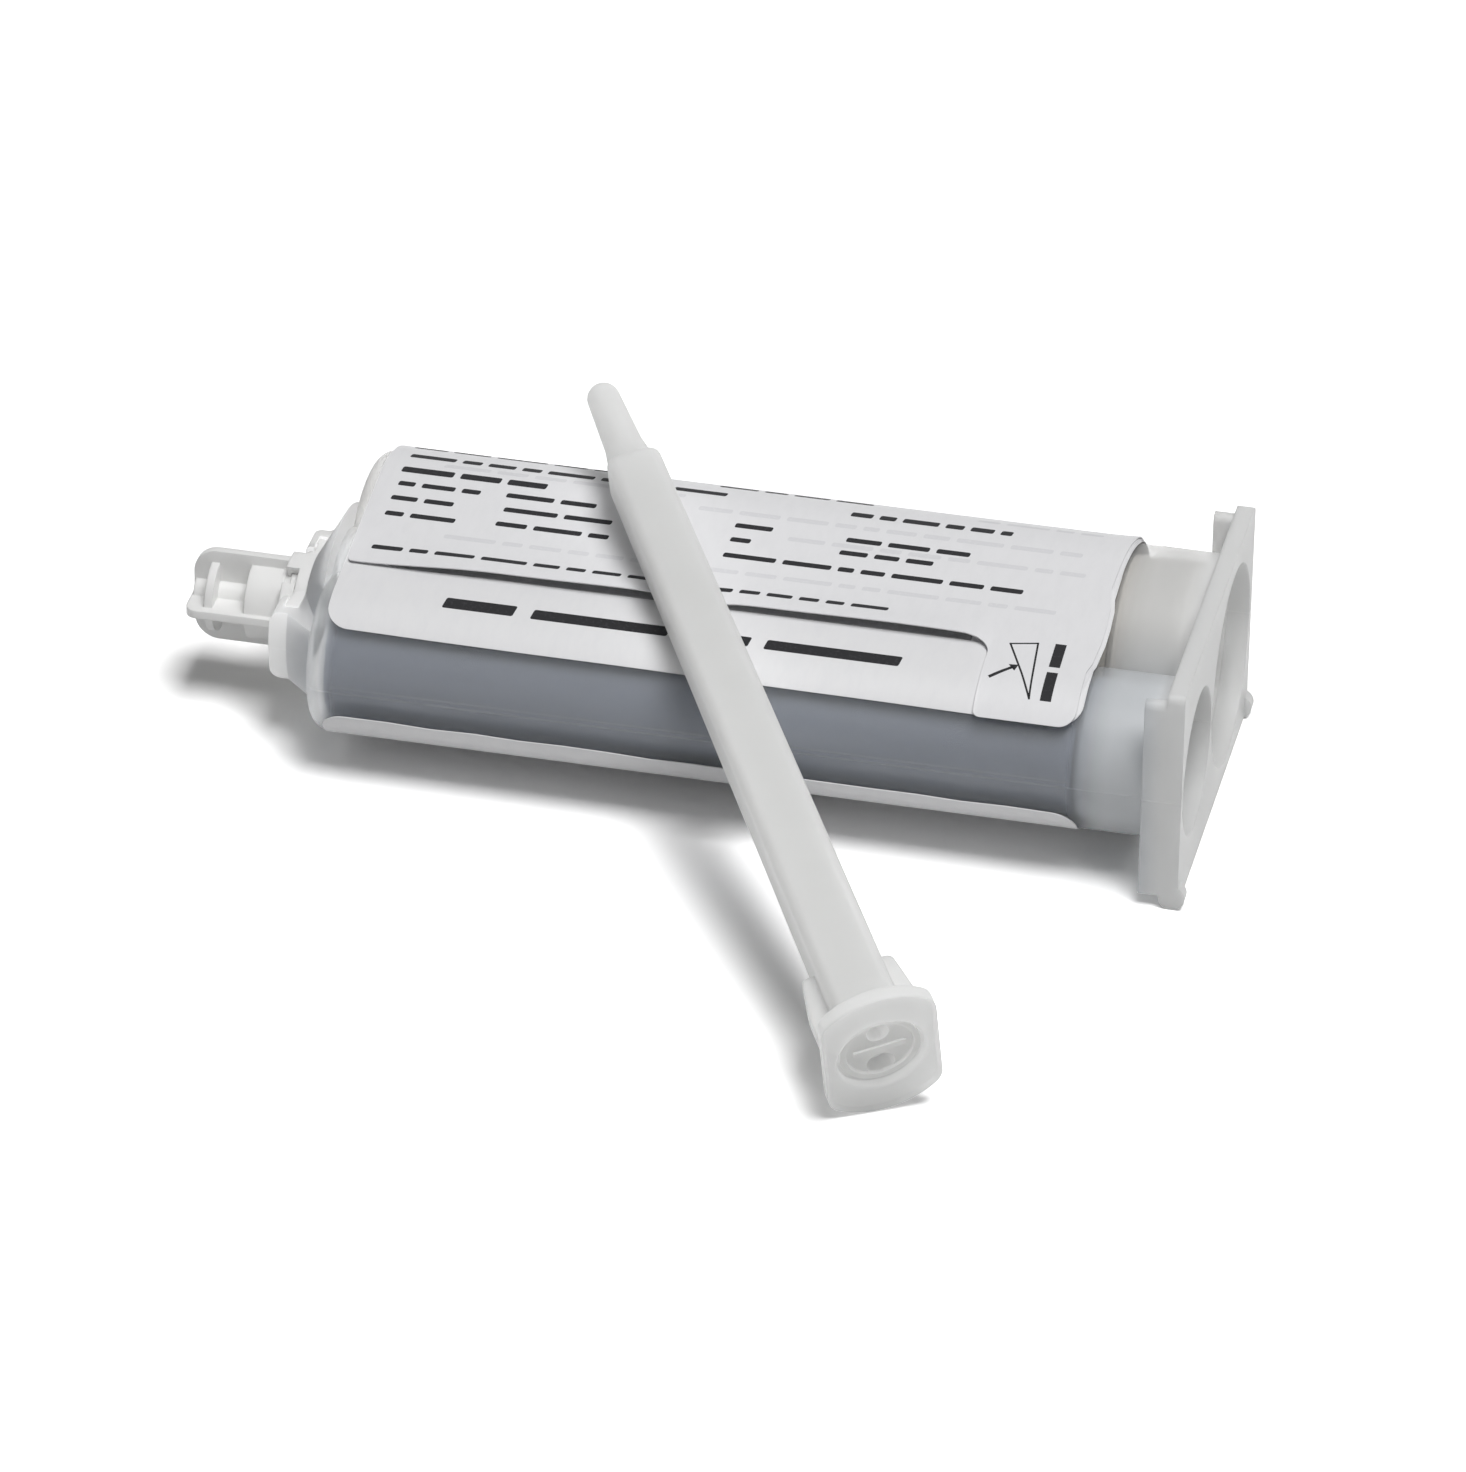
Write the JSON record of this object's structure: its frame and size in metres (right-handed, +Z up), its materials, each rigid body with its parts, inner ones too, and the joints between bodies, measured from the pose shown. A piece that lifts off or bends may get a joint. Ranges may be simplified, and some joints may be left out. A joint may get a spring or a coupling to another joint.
{
  "type": "adhesive cartridge",
  "caption": "Twin-barrel adhesive cartridge lying on its side, with a rear flange, turn-off cap, wrap-round leaflet label and a loose static mixing nozzle leaning on it.",
  "frame": {"origin": "Middle of the footprint of the cartridge and its loose nozzle, on the surface they lie on.", "axes": "+X runs along the barrels from the cap to the flange, +Y from the small barrel to the large one, +Z up. The nozzle's mouth rests at -Y."},
  "size_m": [0.118, 0.0972, 0.0358],
  "materials": {
    "body_plastic": "translucent natural polypropylene, satin",
    "piston_plastic": "white, smooth",
    "paste_grey": "blue-grey paste",
    "paste_beige": "off-white paste",
    "cap_plastic": "white, slightly translucent",
    "label_film": "white film, bare of lettering",
    "leaflet_paper": "white coated paper",
    "nozzle_plastic": "translucent natural polypropylene",
    "mixer_plastic": "white acetal"
  },
  "bodies": {
    "cartridge": {"cartridge_body": "body_plastic", "adhesive_small": "paste_grey", "adhesive_large": "paste_beige", "cap_plug": "cap_plastic", "label_base": "label_film", "leaflet_pages": "leaflet_paper", "leaflet_cover": "leaflet_paper", "nozzle_housing": "nozzle_plastic", "mixing_element": "mixer_plastic"},
    "small_piston": {"piston_small": "piston_plastic"},
    "large_piston": {"piston_large": "piston_plastic"},
    "cap": {"cap_ring": "cap_plastic"}
  },
  "joints": [
    {"name": "small_piston_slide", "type": "slide", "parent": "cartridge", "child": "small_piston", "axis": [-0.9999, 0, -0.0112], "range_m": [0, 0.084], "deforming": ["adhesive_small"]},
    {"name": "large_piston_slide", "type": "slide", "parent": "cartridge", "child": "large_piston", "axis": [-0.9999, 0, -0.0112], "range_m": [0, 0.084], "deforming": ["adhesive_large"]},
    {"name": "cap_turn", "type": "hinge", "parent": "cartridge", "child": "cap", "pos_m": [-0.04475, 0.02373, 0.01247], "axis": [-0.9999, 0, -0.0112], "range_deg": [0, 90]}
  ]
}
